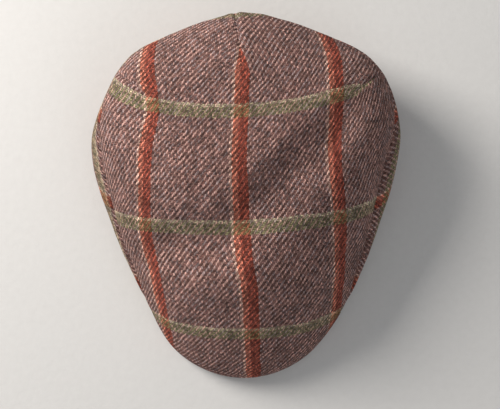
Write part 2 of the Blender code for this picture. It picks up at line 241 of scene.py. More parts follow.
def brow_height(angle):
    """The head opening's edge arches over the brow, by a smooth step."""
    return BROW_ARCH * ease((BROW_CORNER - half_turn(angle)) / (BROW_CORNER + 90.0))


def foot_height(angle):
    """The peak's edge stands off the ground at the front, by a smooth step."""
    return PEAK_LIFT * ease((SIDE_END - half_turn(angle)) / (SIDE_END + 90.0))


def seam_radius(angle):
    """The top seam in plan: the rim plus the curve through SEAM_REACH."""
    return rim_radius(angle) + through(SEAM_REACH, half_turn(angle))


def seam_height(angle):
    """The top seam's height: the foot's plus the curve through SEAM_HEIGHT."""
    return foot_height(angle) + through(SEAM_HEIGHT, half_turn(angle))


def foot_radius(angle):
    """The foot follows the rim at the back and sides, and the peak's edge at the front."""
    share = ease((FOOT_TURN - half_turn(angle)) / (FOOT_TURN - SIDE_END))
    return rim_radius(angle) + share * (seam_radius(angle) - rim_radius(angle))


def top_point(angle, radius):
    """The ridge falls forwards, and the top falls from it to its seam as a superellipse."""
    sizes = bpy.context.scene.cap_sizes
    share = np.clip(radius / seam_radius(angle), 0.0, 1.0)
    forward = np.clip(-radius * np.sin(np.radians(angle)) / seam_radius(-90.0), 0.0, 1.0)
    ridge = sizes.crown_height - (sizes.crown_height - sizes.brow_ridge) * forward**1.3
    rounding = through(EDGE_ROUNDING, half_turn(angle))
    full = (1.0 - share**2.2) ** (1.0 / rounding)
    edge = seam_height(angle)
    return polar(radius, angle, edge + (ridge - edge) * full)


def side_point(angle, share, top, foot, bottom):
    """From the seam down to the foot by the power 1.6, with a belly of half a sine wave."""
    belly = through(BELLY, half_turn(angle)) * np.sin(math.pi * share)
    radius = top[0] + (foot - top[0]) * share**1.6 + belly
    return polar(radius, angle, top[1] + (bottom - top[1]) * share)


def side_surface(angles, seam, foot, bottom, shares):
    """Rows of the side from the foot up to the seam."""
    edge = (seam, top_point(angles, seam)[..., 2])
    band = np.minimum(RIM_BAND, (edge[1] - bottom) / 3)
    rows = [polar(foot, angles, bottom + band * share) for share in (0.0, 0.4)]
    rows += [side_point(angles, share, edge, foot, bottom + band) for share in shares]
    return np.array(rows)


def edge_point(radius_at, angle, depth, height):
    """A point on an outline, moved in square to it by depth."""
    after = polar(radius_at(angle + 0.5), angle + 0.5, 0.0)
    before = polar(radius_at(angle - 0.5), angle - 0.5, 0.0)
    along = unit(after - before)
    inward = np.stack([-along[..., 1], along[..., 0], along[..., 2]], axis=-1)
    point = polar(radius_at(angle), angle, 0.0) + inward * np.asarray(depth)[..., None]
    point[..., 2] = height
    return point


def rim_point(angle, depth, height):
    """A point inside the rim: edge_point on the rim's ellipse."""
    return edge_point(rim_radius, angle, depth, height)


def normals_of(rows, closed):
    """Unit cross product of the step along a row and the step up to the next row."""
    if closed:
        along = np.roll(rows, -1, axis=1) - np.roll(rows, 1, axis=1)
    else:
        along = np.gradient(rows, axis=1)
    upward = np.gradient(rows, axis=0)
    normal = np.cross(along, upward)
    short = np.linalg.norm(normal, axis=-1) < 1e-14
    normal[short] = (0.0, 0.0, 1.0)
    return unit(normal)


def arc(rows):
    """Running length along each column, from the first row."""
    steps = np.linalg.norm(np.diff(rows, axis=0), axis=-1)
    return np.concatenate([np.zeros((1, rows.shape[1])), np.cumsum(steps, axis=0)])


def head_centre():
    """Y of the head's centre: the peak's edge of the frame plus the reach at the front."""
    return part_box("crown_top_panel")[0].y + float(seam_radius(-90.0))


def relief(x, y):
    """Height of the dents and swells of the worn top, in plan.

    One long crease runs across the front, then turns back towards the right ear: the top
    steps down over 28 mm and rises again over 32 mm. Bell curves add the rest.
    """
    crease = -0.0440 + 0.0076 * np.log1p(np.exp(np.clip((x + 0.020) / 0.008, -30.0, 30.0)))
    forward = (crease - y) / (1.0 + 0.41 * ease((x + 0.030) / 0.025))
    fade = ease((x + 0.078) / 0.030) * (1.0 - ease((x - 0.056) / 0.034))
    height = -CREASE_DEPTH * ease((forward + 0.021) / 0.028) * (1.0 - ease((forward - 0.003) / 0.032)) * fade
    for rise, x_middle, x_width, y_middle, y_width in SWELLS:
        height = height + rise * hump(y, y_middle, y_width) * hump(x, x_middle, x_width)
    return height


def settled(points):
    """The cap as it lies: leaning a little to one side, with the relief pressed into its top.

    The lean is a smooth function of Y, fading out at the rim; the relief is a height added
    above 30 mm.
    """
    x, y, z = points[..., 0], points[..., 1], points[..., 2]
    lean = -0.0024 + 0.0044 * ease(y / 0.072) - 0.0026 * ease((y - 0.075) / 0.05)
    weight = 1.0 - (1.0 - ease(z / 0.05)) * (1.0 - ease((-0.095 - y) / 0.04))
    moved = points.copy()
    moved[..., 0] = x + lean * weight
    moved[..., 1] = y + head_centre()
    moved[..., 2] = z + relief(x, y) * ease((z - 0.03) / 0.02)
    return moved


# ---------------------------------------------------------------- meshes


def grid_quads(rows, columns, closed):
    """Corner numbers of the cells of a grid, facing outwards when columns run anticlockwise."""
    number = np.arange(rows * columns).reshape(rows, columns)
    after = np.roll(number, -1, axis=1) if closed else number[:, 1:]
    here = number if closed else number[:, :-1]
    return np.stack([here[:-1], after[:-1], after[1:], here[1:]], axis=-1)


def build(name, points, quads, uv, material, thickness=0.0, fan=None):
    """A mesh object from points, four-cornered cells and their corner coordinates.

    fan closes the last row onto one more point, as (point, quads of that row's edges, uv).
    """
    points = points.reshape(-1, 3)
    quads = quads.reshape(-1, 4)
    uv = uv.reshape(-1, 2)
    corners = quads.ravel()
    starts = np.arange(len(quads)) * 4
    totals = np.full(len(quads), 4)
    if fan is not None:
        point, edges, fan_uv = fan
        tris = np.column_stack([edges, np.full(len(edges), len(points))])
        points = np.vstack([points, point])
        starts = np.concatenate([starts, len(corners) + np.arange(len(tris)) * 3])
        totals = np.concatenate([totals, np.full(len(tris), 3)])
        corners = np.concatenate([corners, tris.ravel()])
        uv = np.vstack([uv, fan_uv.reshape(-1, 2)])
    used, corners = np.unique(corners, return_inverse=True)
    points = points[used]
    mesh = bpy.data.meshes.new(name)
    mesh.vertices.add(len(points))
    mesh.vertices.foreach_set("co", points.astype(np.float32).ravel())
    mesh.loops.add(len(corners))
    mesh.loops.foreach_set("vertex_index", corners.astype(np.int32).ravel())
    mesh.polygons.add(len(starts))
    mesh.polygons.foreach_set("loop_start", starts.astype(np.int32))
    mesh.polygons.foreach_set("loop_total", totals.astype(np.int32))
    layer = mesh.uv_layers.new(name="cloth")
    layer.data.foreach_set("uv", uv.astype(np.float32).ravel())
    mesh.update(calc_edges=True)
    mesh.validate()
    mesh.shade_smooth()
    mesh.materials.append(bpy.data.materials[material])
    obj = bpy.data.objects.new(name, mesh)
    bpy.context.scene.collection.objects.link(obj)
    if thickness:
        solidify = obj.modifiers.new("Thickness", "SOLIDIFY")
        solidify.thickness = thickness
        solidify.offset = -1.0
        solidify.use_even_offset = False
    return obj


def corner_uv(before, after):
    """Coordinates of each cell's corners, from those on either side of each column."""
    return np.stack([after[:-1, :-1], before[:-1, 1:], before[1:, 1:], after[1:, :-1]], axis=2)


def ribbon(name, rows, material, thickness, uv=None):
    """A strip through rows of points, lowest row first, with coordinates by arc length."""
    if uv is None:
        across = np.linalg.norm(np.diff(rows[len(rows) // 2], axis=0), axis=-1)
        s = np.broadcast_to(np.concatenate([[0.0], np.cumsum(across)]), rows.shape[:2])
        uv = np.stack([s, arc(rows)], axis=-1)
    quads = grid_quads(rows.shape[0], rows.shape[1], False)
    return build(name, rows, quads, corner_uv(uv, uv), material, thickness)


# ---------------------------------------------------------------- crown top


def column_angles():
    """Columns 1.25 degrees apart, drawn closer to each dart."""
    even = np.arange(-90.0, 270.0, 1.25)
    close = np.array([0.0, 0.18, 0.4, 0.7, 1.1, 1.6, 2.3, 3.2])
    near = np.concatenate([-close[:0:-1], close])
    for dart in DARTS:
        even = even[np.abs(even - dart[0]) > 3.7]
        even = np.concatenate([even, dart[0] + near])
    return np.sort(even)


def dart_turn(angles, run, side):
    """Turn of the cloth about the crown, in radians, that the darts take out.

    Beyond its tip a dart takes in cloth in proportion to the distance. The turn jumps by
    that over the run at the dart, and falls off to nothing on both sides of it. side is -1
    just before a dart and 1 just after it.
    """
    turn = np.zeros(np.broadcast(angles, run).shape)
    for angle, tip, rate in DARTS:
        taken = rate * np.maximum(run - tip, 0.0) / np.maximum(run, 1e-6)
        away = (angles - angle) / DART_SPREAD
        sign = np.where(np.abs(away) < 1e-9, side, np.sign(away))
        turn += 0.5 * taken * sign * np.clip(1.0 - np.abs(away), 0.0, 1.0)
    return turn


def cloth_place(angles, run, side):
    """Place on the uncut cloth of a point of the top: across, along, in metres.

    The top is rolled out flat about the crown: distance from the crown is kept, and the
    direction turns by what the darts take out.
    eased: the warp leans and spreads towards the peak, the weft bows.
    """
    turn = np.radians(angles) + dart_turn(angles, run, side)
    s, t = run * np.cos(turn), run * np.sin(turn)
    s = s + 0.003 + 0.04 * t - 0.004 * ease((-0.05 - t) / 0.045)
    s = s - 0.0050 * hump(t, 0.044, 0.016) * hump(s, -0.066, 0.024)
    s = s / (1.0 + 0.20 * ease((0.025 - t) / 0.095))
    bow = 0.0053 + 0.08 * t
    tilt = 0.045 * ease((t + 0.14) / 0.10)
    t = t - bow * (s / 0.070) ** 2 - tilt * s
    t = t - 0.11 * np.minimum(t + 0.03, 0.0)
    return np.stack([s, t - WEFT_STRIPE], axis=-1)


def puckers(angles, reach):
    """Small gathers beside a seam: sums of sine waves round the head that fade in 14 mm."""
    wave = np.sin(np.radians(angles) * 31.0 + 0.6) + 0.7 * np.sin(np.radians(angles) * 47.0 + 2.1)
    wave = wave + 0.5 * np.sin(np.radians(angles) * 73.0)
    return 0.00016 * wave * ease(reach / 0.002) * np.exp(-reach / 0.007)


def top_relief(angles, run, edge_run):
    """Height of the cloth over the plain surface, in metres, from its seams and darts."""
    reach = edge_run - run
    front = ease((SIDE_END + 2.0 - half_turn(angles)) / 6.0)
    height = (0.0006 * hump(reach, 0.0055, 0.0035) - 0.0005 * hump(reach, 0.0, 0.0018)) * (1.0 - front)
    height = height + puckers(angles, reach) * (1.0 - front)
    for angle, tip, _ in DARTS:
        away = np.radians(angles - angle) * run
        grown = ease((run - tip + 0.004) / 0.014)
        height = height - DART_GROOVE * grown * hump(away, 0.0, 0.0011)
        height = height + 0.0006 * grown * (hump(away, 0.0045, 0.0035) + hump(away, -0.0045, 0.0035))
        height = height + 0.0007 * hump(run, tip - 0.006, 0.008) * hump(away, 0.0, 0.008)
    x, y = run * np.cos(np.radians(angles)), run * np.sin(np.radians(angles))
    drift = np.sin(x * 97 + 2 * np.sin(y * 61)) * np.sin(y * 83 + 1.5 * np.sin(x * 71) + 1.0)
    drift = drift + 0.5 * np.sin(x * 213 + y * 120 + 2.0 * np.sin(y * 140)) * np.sin(y * 190 - x * 60)
    return height + 0.00028 * drift * ease(reach / 0.010)


def top_rows():
    """Angles, points, run and seam run of the top, from the seam in to the crown."""
    angles = column_angles()
    shares = np.concatenate([np.linspace(1.0, 0.93, 15), np.linspace(0.92, 0.03, 62)])
    rows = np.array([top_point(angles, share * seam_radius(angles)) for share in shares])
    crown = top_point(angles, 0.0 * angles)
    run = arc(np.concatenate([crown[None], rows[::-1]]))[1:][::-1]
    return angles, rows, run


def lip_rows(angles, count=9):
    """The fold over the peak's edge, from its foot up to the seam, with a round nose."""
    share = np.linspace(0.0, 1.0, count + 1)[:-1, None]
    nose = 0.0012 * np.sin(math.pi * share) - 0.0016 * (1.0 - share) ** 3
    radius = foot_radius(angles) + nose
    height = foot_height(angles) + (seam_height(angles) - foot_height(angles)) * share
    return polar(radius, np.broadcast_to(angles, radius.shape), height)


def make_crown_top():
    """The top: top_point with its relief added along the normals, and the fold over the peak.

    Only the front columns take part in the fold, and one crown point closes the rows.
    """
    angles, rows, run = top_rows()
    rows = rows + normals_of(rows, True) * top_relief(angles, run, run[0])[..., None]
    lip = lip_rows(angles)
    lip_run = run[0] + (rows[0, :, 2] - lip[..., 2])
    points = np.concatenate([lip, rows])
    runs = np.concatenate([lip_run, run])
    wrapped = np.append(np.arange(len(angles)), 0)
    turned = np.append(angles, 270.0)
    before = cloth_place(turned, runs[:, wrapped], -1.0)
    after = cloth_place(turned, runs[:, wrapped], 1.0)
    quads = grid_quads(points.shape[0], points.shape[1], True)
    uv = corner_uv(before, after)
    kept = np.ones(quads.shape[:2], bool)
    at_front = half_turn(angles) <= SIDE_END + 1e-6
    kept[: len(lip)] = at_front & np.roll(at_front, -1)
    last = quads[-1][:, [3, 2]]
    crown_uv = np.broadcast_to(cloth_place(np.zeros(1), np.zeros(1), 1.0), (len(last), 2))
    fan_uv = np.stack([after[-1, :-1], before[-1, 1:], crown_uv], axis=1)
    fan = (settled(top_point(np.zeros(1), np.zeros(1))), last, fan_uv)
    cloth = bpy.context.scene.cap_sizes.cloth
    obj = build("crown_top", settled(points), quads[kept], uv[kept], "checked_tweed", cloth, fan)
    declared(obj, "crown_top_panel")


# ---------------------------------------------------------------- side panels


def side_rows(angles):
    """Rows of the side cloth from the foot to a strip tucked under the top's edge.

    With them come the distance below the seam and the depth to set the cloth in by: it
    sinks at the seam by a smooth step, swells by a bell curve, gathers and ripples.
    """
    shares = 1.0 - np.linspace(0.0, 1.0, 34) ** 0.9
    seam = seam_radius(angles)
    rows = side_surface(angles, seam, foot_radius(angles), foot_height(angles), shares)
    tuck = np.array([top_point(angles, share * seam) for share in (0.988, 0.976)])
    rows = np.concatenate([rows, tuck])
    below = arc(rows[::-1])[::-1]
    below = below - below[-3]
    sunk = SEAM_TUCK * ease((0.0042 - below) / 0.0042)
    swell = 0.0006 * hump(below, 0.008, 0.005) + puckers(angles, np.maximum(below, 0.0)) * 1.4
    ripple = 0.0003 * np.sin(np.radians(angles) * 9.0 + below * 60.0) * np.sin(below * 95.0)
    return rows, below, sunk - swell - ripple


def make_sides():
    """Both side panels. The right one runs on under the left one at the centre of the back."""
    cloth = bpy.context.scene.cap_sizes.cloth
    for name, mirror, end, lapped in (("right", 1.0, 91.3, 0.0015), ("left", -1.0, 90.05, 0.0001)):
        angles = np.concatenate([np.arange(SIDE_END, 86.0, 1.0), np.linspace(86.0, end, 12)])
        rows, below, depth = side_rows(angles)
        back = np.radians(90.0 - angles) * BACK_RADIUS
        depth = depth + lapped * ease((0.004 - back) / 0.004)
        rows = rows - normals_of(rows, False) * depth[..., None]
        girth = np.linalg.norm(np.diff(rows[18], axis=0), axis=-1)
        girth = np.concatenate([[0.0], np.cumsum(girth)])
        s = SIDE_STRIPE + SIDE_SHEAR * below - girth
        uv = np.stack([s, (0.012 - below) * -mirror], axis=-1)
        if mirror < 0:
            rows, uv = mirrored(rows), uv[:, ::-1]
        obj = ribbon("side_" + name, settled(rows), "checked_tweed", cloth, uv)
        declared(obj, "side_panel_" + name)


# ---------------------------------------------------------------- inner layers


def declared(obj, node):
    """Hides the frame's part that a sheet stands for, and hangs the sheet on the root body."""
    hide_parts(node)
    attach(obj, "root")


def mirrored(rows):
    """The same rows on the other side of the cap, still running anticlockwise."""
    return (rows * np.array([-1.0, 1.0, 1.0]))[:, ::-1]


def dome(name, rows, crown, material, thickness):
    """Rings closed by a crown point, with coordinates rolled out flat about the crown."""
    run = arc(np.concatenate([crown[None, None].repeat(rows.shape[1], axis=1), rows[::-1]]))[1:][::-1]
    turn = np.linspace(0.0, 2.0 * math.pi, rows.shape[1] + 1)
    around = np.concatenate([run, run[:, :1]], axis=1)
    uv = np.stack([around * np.cos(turn), around * np.sin(turn)], axis=-1)
    quads = grid_quads(rows.shape[0], rows.shape[1], True)
    edges = quads[-1][:, [3, 2]]
    fan_uv = np.stack([uv[-1, :-1], uv[-1, 1:], np.zeros_like(uv[-1, 1:])], axis=1)
    fan = (settled(crown[None]), edges, fan_uv)
    return build(name, settled(rows), quads, corner_uv(uv, uv), material, thickness, fan)


def make_interlinings():
    """Canvas under the top, as far as its seam allowance, and under each side."""
    angles = np.arange(-90.0, 270.0, 4.0)
    seam = seam_radius(angles)
    rows = np.array([top_point(angles, share * seam) for share in np.linspace(0.95, 0.04, 30)])
    rows = rows - normals_of(rows, True) * INTERLINING_DEPTH
    crown = top_point(np.zeros(1), np.zeros(1))[0] - (0.0, 0.0, INTERLINING_DEPTH)
    obj = dome("interlining_top", rows, crown, "linen_canvas", CANVAS_THICKNESS)
    declared(obj, "top_interlining")
    angles = np.arange(-45.0, 88.0, 2.5)
    shares = 1.0 - np.linspace(0.0, INTERLINING_SHARE, 20)
    rows = side_surface(angles, seam_radius(angles), foot_radius(angles), foot_height(angles), shares)
    rows = rows - normals_of(rows, False) * INTERLINING_DEPTH
    rows[0, :, 2] = 0.001
    for name, points in (("right", rows), ("left", mirrored(rows))):
        obj = ribbon("interlining_" + name, settled(points), "linen_canvas", CANVAS_THICKNESS)
        declared(obj, "side_interlining_" + name)


def lining_grid(angles, closed):
    """Rows of the lining from its lower edge to the crown, and the row of its seam.

    It follows the outside at the back and sides. Over the brow its side is a straight fold
    from the rim to 10 mm in front of it. It hangs 1.6 mm lower at the top, in soft creases.
    """
    turned = half_turn(angles)
    rim, brow = rim_radius(angles), brow_height(angles)
    reach = seam_radius(angles) - rim
    seam = rim + reach + (0.010 - reach) * ease((-24.0 - turned) / 9.0)
    side = side_surface(angles, seam, rim, brow, 1.0 - np.linspace(0.0, 1.0, 22))
    top = np.array([top_point(angles, share * seam) for share in np.linspace(0.985, 0.04, 44)])
    seam_row = len(side) - 1
    rows = np.concatenate([side, top])
    normals = normals_of(rows, closed)
    front = ease((-27.0 - turned) / 8.0)[:, None]
    normals[seam_row] = unit(normals[seam_row] * (1 - front) + normals[seam_row + 2] * front)
    slack = np.full(len(rows), LINING_SLACK)
    slack[:seam_row] = LINING_SLACK * np.linspace(0.0, 1.0, seam_row)
    x, y = rows[..., 0], rows[..., 1]
    crease = np.sin(x * 150 + 3 * np.sin(y * 55)) * np.sin(y * 90 + 2 * np.sin(x * 60))
    share = np.clip((np.arange(len(rows)) - seam_row) / 8.0, 0.0, 1.0)[:, None]
    depth = LINING_DEPTH + slack[:, None] + 0.0005 * share * (0.5 + 0.5 * crease)
    rows = rows - normals * depth[..., None]
    at_rim = np.full(len(angles), LINING_DEPTH)
    rows[0] = rim_point(angles, at_rim, brow + 0.001)
    upright = rim_point(angles, at_rim, brow + 0.0072)
    climb = np.linspace(0.0, 1.0, seam_row)[:, None, None]
    straight = upright + (rows[seam_row] - upright) * climb
    rows[1 : seam_row + 1] = rows[1 : seam_row + 1] * (1 - front) + straight * front
    return rows, seam_row


def make_lining_top():
    """The satin under the crown: the closed lining grid above its seam, ended by its mean point."""
    rows, seam_row = lining_grid(np.arange(-90.0, 270.0, 3.0), True)
    obj = dome("satin_top", rows[seam_row:], rows[-1].mean(axis=0), "lining_satin", SATIN_THICKNESS)
    declared(obj, "lining_top")


def make_lining_sides():
    """The satin at each side, and a tape 8 mm wide laid over its seam, 1 mm in."""
    rows, seam_row = lining_grid(np.concatenate([[-89.8], np.arange(-87.0, 89.0, 3.0), [89.8]]), False)
    side = rows[: seam_row + 1].copy()
    side[-1] += unit(side[-2] - side[-1]) * 0.0006
    seam = rows[seam_row]
    reach = np.array([-0.004, -0.002, 0.0, 0.002, 0.004])[:, None, None]
    lower, upper = unit(seam - rows[seam_row - 2]), unit(rows[seam_row + 2] - seam)
    strip = (seam + np.where(reach < 0.0, lower, upper) * reach)[:, 19:-2]
    strip = strip - normals_of(strip, False) * 0.0010
    for name, points, tape in (("right", side, strip), ("left", mirrored(side), mirrored(strip))):
        obj = ribbon("satin_" + name, settled(points), "lining_satin", SATIN_THICKNESS)
        declared(obj, "lining_side_" + name)
        obj = ribbon("tape_" + name, settled(tape), "tape_satin", SATIN_THICKNESS)
        declared(obj, "lining_seam_tape_" + name)


def make_patch():
    """The blank patch: the top's surface 7.3 mm down, with waves, and stitches round its edge."""
    x, y = np.meshgrid(np.linspace(-0.028, 0.028, 29), np.linspace(-0.018, 0.018, 19))
    curve = 0.0003 * np.sin(x * 260.0) * np.sin(y * 220.0)
    angle = np.degrees(np.arctan2(y, x))
    rows = top_point(angle, np.hypot(x, y)) - np.stack([0 * x, 0 * x, PATCH_DEPTH + curve], axis=-1)
    obj = ribbon("blank_patch", settled(rows), "label_cloth", LABEL_THICKNESS)
    declared(obj, "lining_patch")
    inner = rows[1:-1, 1:-1]
    path = np.concatenate([inner[0], inner[1:, -1], inner[-1, -2::-1], inner[-2:0:-1, 0]])
    path = settled(path) - (0.0, 0.0, LABEL_THICKNESS)
    stitch_row("patch_stitches", path, np.broadcast_to((0.0, 0.0, -1.0), path.shape))


# ---------------------------------------------------------------- peak and sweatband


def make_peak():
    """The stiff board between its two cloth covers: straight rows from the outer edge to the brow."""
    angles = np.arange(-180.0 - PEAK_CORNER, PEAK_CORNER + 0.1, 1.5)
    depth = 0.0023 + 0.0012 * ease((half_turn(angles) + 49.5) / 3.5)
    share = np.linspace(0.0, 1.0, 20)[:, None, None]
    for name, node, lift, thickness, material, slot in (
        ("under_cover", "peak_under_cover", 0.0000, 0.0015, "checked_tweed", "tweed_trim"),
        ("stiffener", "peak_board", 0.0018, 0.0016, "peak_fibreboard", "board"),
        ("upper_cover", "peak_upper_cover", 0.0037, 0.0015, "checked_tweed", "tweed_trim"),
    ):
        edge = edge_point(foot_radius, angles, depth, foot_height(angles) + 0.0005 + lift + thickness)
        brow = rim_point(angles, np.full(len(angles), 0.0028), brow_height(angles) + lift + thickness)
        rows = edge + (brow - edge) * share
        uv = np.stack([rows[..., 0], rows[..., 1] + 0.119], axis=-1)
        obj = ribbon(name, settled(rows), material, thickness, uv)
        declared(obj, node)


def make_strips():
    """Four strips round the inside of the rim, each at its depth, one of them gathered in waves."""
    turn_end = ELASTIC_START + 360.0
    front = np.arange(ELASTIC_END + 1.5, turn_end - 1.0, 1.5)
    front = np.concatenate([[ELASTIC_END + JOIN_GAP], front, [turn_end - JOIN_GAP]])
    back = np.arange(ELASTIC_START + 1.0, ELASTIC_END - 0.5, 0.5)
    back = np.concatenate([[ELASTIC_START + JOIN_GAP], back, [ELASTIC_END - JOIN_GAP]])
    band, inner = (0.001, BAND_TOP, SWEATBAND_DEPTH), (0.005, 0.025, BACKING_DEPTH)
    satin = ["satin_right", "satin_left"]
    for name, node, angles, place, material, slot, thickness, flat, under, ripple in (
        ("band_front", "sweatband_front", front, band, "band_grosgrain", "band",
         BAND_THICKNESS, (0.44, 0.028), ["band_backing"], 0.0),
        ("band_back", "sweatband_back", back, band, "band_grosgrain", "band",
         BAND_THICKNESS, (0.15, 0.028), ["elastic_tape"], 0.00022),
        ("band_backing", "sweatband_backing", front, inner, "linen_canvas", "canvas",
         CANVAS_THICKNESS, (0.45, 0.020), satin, 0.0),
        ("elastic_tape", "back_elastic", back, inner, "elastic_web", "elastic",
         CANVAS_THICKNESS, (0.13, 0.020), satin, 0.0),
    ):
        low, high, depth = place
        share = np.linspace(0.0, 1.0, 14)
        wave = ripple * np.sin(np.radians(angles) * 130.0) * np.sin(math.pi * share)[:, None]
        height = brow_height(angles) + np.linspace(low, high, 14)[:, None]
        points = np.array([rim_point(angles, depth + wave[row], height[row]) for row in range(14)])
        obj = ribbon(name, settled(points), material, thickness)
        declared(obj, node)


def make_piping():
    """A twisted cord on the band's upper edge: a circle whose radius dips by squared cosines."""
    turns = np.arange(0.0, 360.0, 1.2)
    circle = np.radians(np.arange(0.0, 360.0, 36.0))[:, None]
    lay = np.radians(turns) * 95.0
    radius = PIPING_RADIUS * (1.0 - 0.10 * np.cos(2.0 * circle - lay) ** 2)
    middle = np.full(len(turns), SWEATBAND_DEPTH + 0.0005)
    path = rim_point(turns, middle, brow_height(turns) + BAND_TOP + 0.0012)
    outward = unit(path * (1.0, 1.0, 0.0))
    upward = np.array([0.0, 0.0, 1.0])
    around = np.cos(circle)[..., None] * outward + np.sin(circle)[..., None] * upward
    rows = path + radius[..., None] * around
    obj = tube("piping", settled(rows), "tape_satin")
    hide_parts("sweatband_piping")
    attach(obj, "root")


def make_tab():
    """The blank tab, standing on the band's inner face."""
    angles = TAB_TURN + np.linspace(-3.25, 3.25, 14)
    rows = [rim_point(angles, np.full(14, 0.0065), height) for height in np.linspace(0.007, 0.023, 18)]
    obj = ribbon("blank_tab", settled(np.array(rows)), "label_cloth", LABEL_THICKNESS)
    declared(obj, "size_tab")


def make_band_stitches():
    """Stitches near both edges of the band's inner face."""
    turns = np.arange(0.0, 360.0, 1.0)
    for name, height in (("band_stitches_low", 0.0030), ("band_stitches_high", 0.0270)):
        path = rim_point(turns, np.full(360, RIM_STACK), brow_height(turns) + height)
        stitch_row(name, settled(path), -unit(path * (1.0, 1.0, 0.0)))


def tube(name, rows, material):
    """A closed ring of a closed profile: rows run round the profile, columns along the path."""
    count, length = rows.shape[:2]
    number = np.arange(count * length).reshape(count, length)
    ahead, above = np.roll(number, -1, 1), np.roll(number, -1, 0)
    quads = np.stack([number, ahead, np.roll(above, -1, 1), above], axis=-1)
    s = np.arange(length + 1) * 0.0019
    t = np.arange(count + 1) * 0.00057
    grid = np.stack(np.broadcast_arrays(s[None, :], t[:, None]), axis=-1)
    return build(name, rows, quads, corner_uv(grid, grid), material)


def stitch_row(name, path, normals, length=0.0026, spacing=0.0038, radius=0.00022):
    """Thread stitches round a closed path, each a capsule whose middle stands proud of the cloth.

    Along a stitch u runs from -1 to 1: the radius is the root of 1 less u to the fourth,
    and the height is the radius times 1 less u squared.
    """
    path, normals = (np.concatenate([points, points[:1]]) for points in (path, normals))
    run = np.concatenate([[0.0], np.cumsum(np.linalg.norm(np.diff(path, axis=0), axis=-1))])
    count = int(run[-1] / spacing)
    at = (np.arange(count) + 0.5) * run[-1] / count
    centre = np.stack([np.interp(at, run, path[:, k]) for k in range(3)], axis=-1)
    ahead = np.stack([np.interp(at + 0.0004, run, path[:, k]) for k in range(3)], axis=-1)
    out = np.stack([np.interp(at, run, normals[:, k]) for k in range(3)], axis=-1)
    along = unit(ahead - centre)
    out = unit(out - along * np.sum(out * along, axis=-1, keepdims=True))
    across = np.cross(along, out)
    u = np.array([-0.99, -0.8, -0.35, 0.35, 0.8, 0.99])[None, :, None, None]
    turn = np.radians(np.arange(0.0, 360.0, 60.0))[None, None, :, None]
    size = radius * np.sqrt(1.0 - u**4)
    centre, along, across, out = (part[:, None, None, :] for part in (centre, along, across, out))
    points = centre + along * u * length / 2 + out * radius * (1.0 - u**2)
    points = points + size * (np.cos(turn) * across + np.sin(turn) * out)
    number = np.arange(count * 36).reshape(count, 6, 6)
    beside = np.roll(number, -1, axis=2)
    quads = np.stack([number[:, :-1], beside[:, :-1], beside[:, 1:], number[:, 1:]], axis=-1)
    ends = np.concatenate([number[:, 0, ::-1], number[:, -1]])
    mesh = bpy.data.meshes.new(name)
    mesh.from_pydata(points.reshape(-1, 3), [], quads.reshape(-1, 4).tolist() + ends.tolist())
    mesh.uv_layers.new(name="cloth")
    mesh.shade_smooth()
    mesh.materials.append(bpy.data.materials["sewing_thread"])
    obj = bpy.data.objects.new(name, mesh)
    bpy.context.scene.collection.objects.link(obj)
    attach(obj, "root")


# ---------------------------------------------------------------- materials


def arithmetic(operation, swapped=False):
    """An operator of Value that adds a Math node."""

    def apply(value, other):
        pair = (other, value) if swapped else (value, other)
        return value.wiring.math(operation, *pair)

    return apply


class Value:
    """An output socket that can be reckoned with, so that patterns read as formulas."""

    __add__ = arithmetic("ADD")
    __sub__ = arithmetic("SUBTRACT")
    __rsub__ = arithmetic("SUBTRACT", swapped=True)
    __mul__ = arithmetic("MULTIPLY")
    __truediv__ = arithmetic("DIVIDE")
    __mod__ = arithmetic("FLOORED_MODULO")
    __pow__ = arithmetic("POWER")
    __gt__ = arithmetic("GREATER_THAN")
    __lt__ = arithmetic("LESS_THAN")

    def __init__(self, wiring, socket):
        self.wiring = wiring
        self.socket = socket


class Wiring:
    """Adds nodes to one tree. All methods but node and feed return a new node's output as a Value."""

    def __init__(self, tree):
        self.tree = tree

    def node(self, kind, values=(), **settings):
        node = self.tree.nodes.new(kind)
        for key, value in settings.items():
            setattr(node, key, value)
        for place, value in enumerate(values):
            self.feed(node.inputs[place], value)
        return node

    def feed(self, socket, value):
        if isinstance(value, Value):
            self.tree.links.new(value.socket, socket)
        elif value is not None:
            socket.default_value = value

    def result(self, kind, values=(), output=0, **settings):
        return Value(self, self.node(kind, values, **settings).outputs[output])

    def math(self, operation, *values, clamp=False):
        return self.result("ShaderNodeMath", values, operation=operation, use_clamp=clamp)

    def floor(self, value):
        return self.math("FLOOR", value)

    def mix(self, share, first, second, blend="MIX"):
        """A colour from first to second."""
        unused = (None,) * 5
        values = (share, *unused, first, second)
        return self.result("ShaderNodeMix", values, 2, data_type="RGBA", blend_type=blend)

    def choose(self, share, first, second):
        """A number from first to second."""
        return self.result("ShaderNodeMix", (share, None, first, second), data_type="FLOAT")

    def darkened(self, colour, level):
        """A colour times a number."""
        grey = self.result("ShaderNodeCombineColor", (level, level, level))
        return self.mix(1.0, colour, grey, "MULTIPLY")

    def noise(self, vector, scale, detail=2.0, rough=0.5):
        return self.result("ShaderNodeTexNoise", (vector, None, scale, detail, rough), noise_dimensions="3D")

    def chance(self, x, y, z):
        """A random number for each cell."""
        cell = self.result("ShaderNodeCombineXYZ", (x, y, z))
        return self.result("ShaderNodeTexWhiteNoise", (cell,), noise_dimensions="3D")

    def axes(self, vector):
        parts = self.node("ShaderNodeSeparateXYZ", (vector,)).outputs
        return Value(self, parts[0]), Value(self, parts[1])

    def between(self, value, low, high):
        """1 where value lies from low to high."""
        return (value > low) * (value < high)

    def spread(self, value, low, high):
        """Value from 0..1 to low..high."""
        return self.result("ShaderNodeMapRange", (value, 0.0, 1.0, low, high))


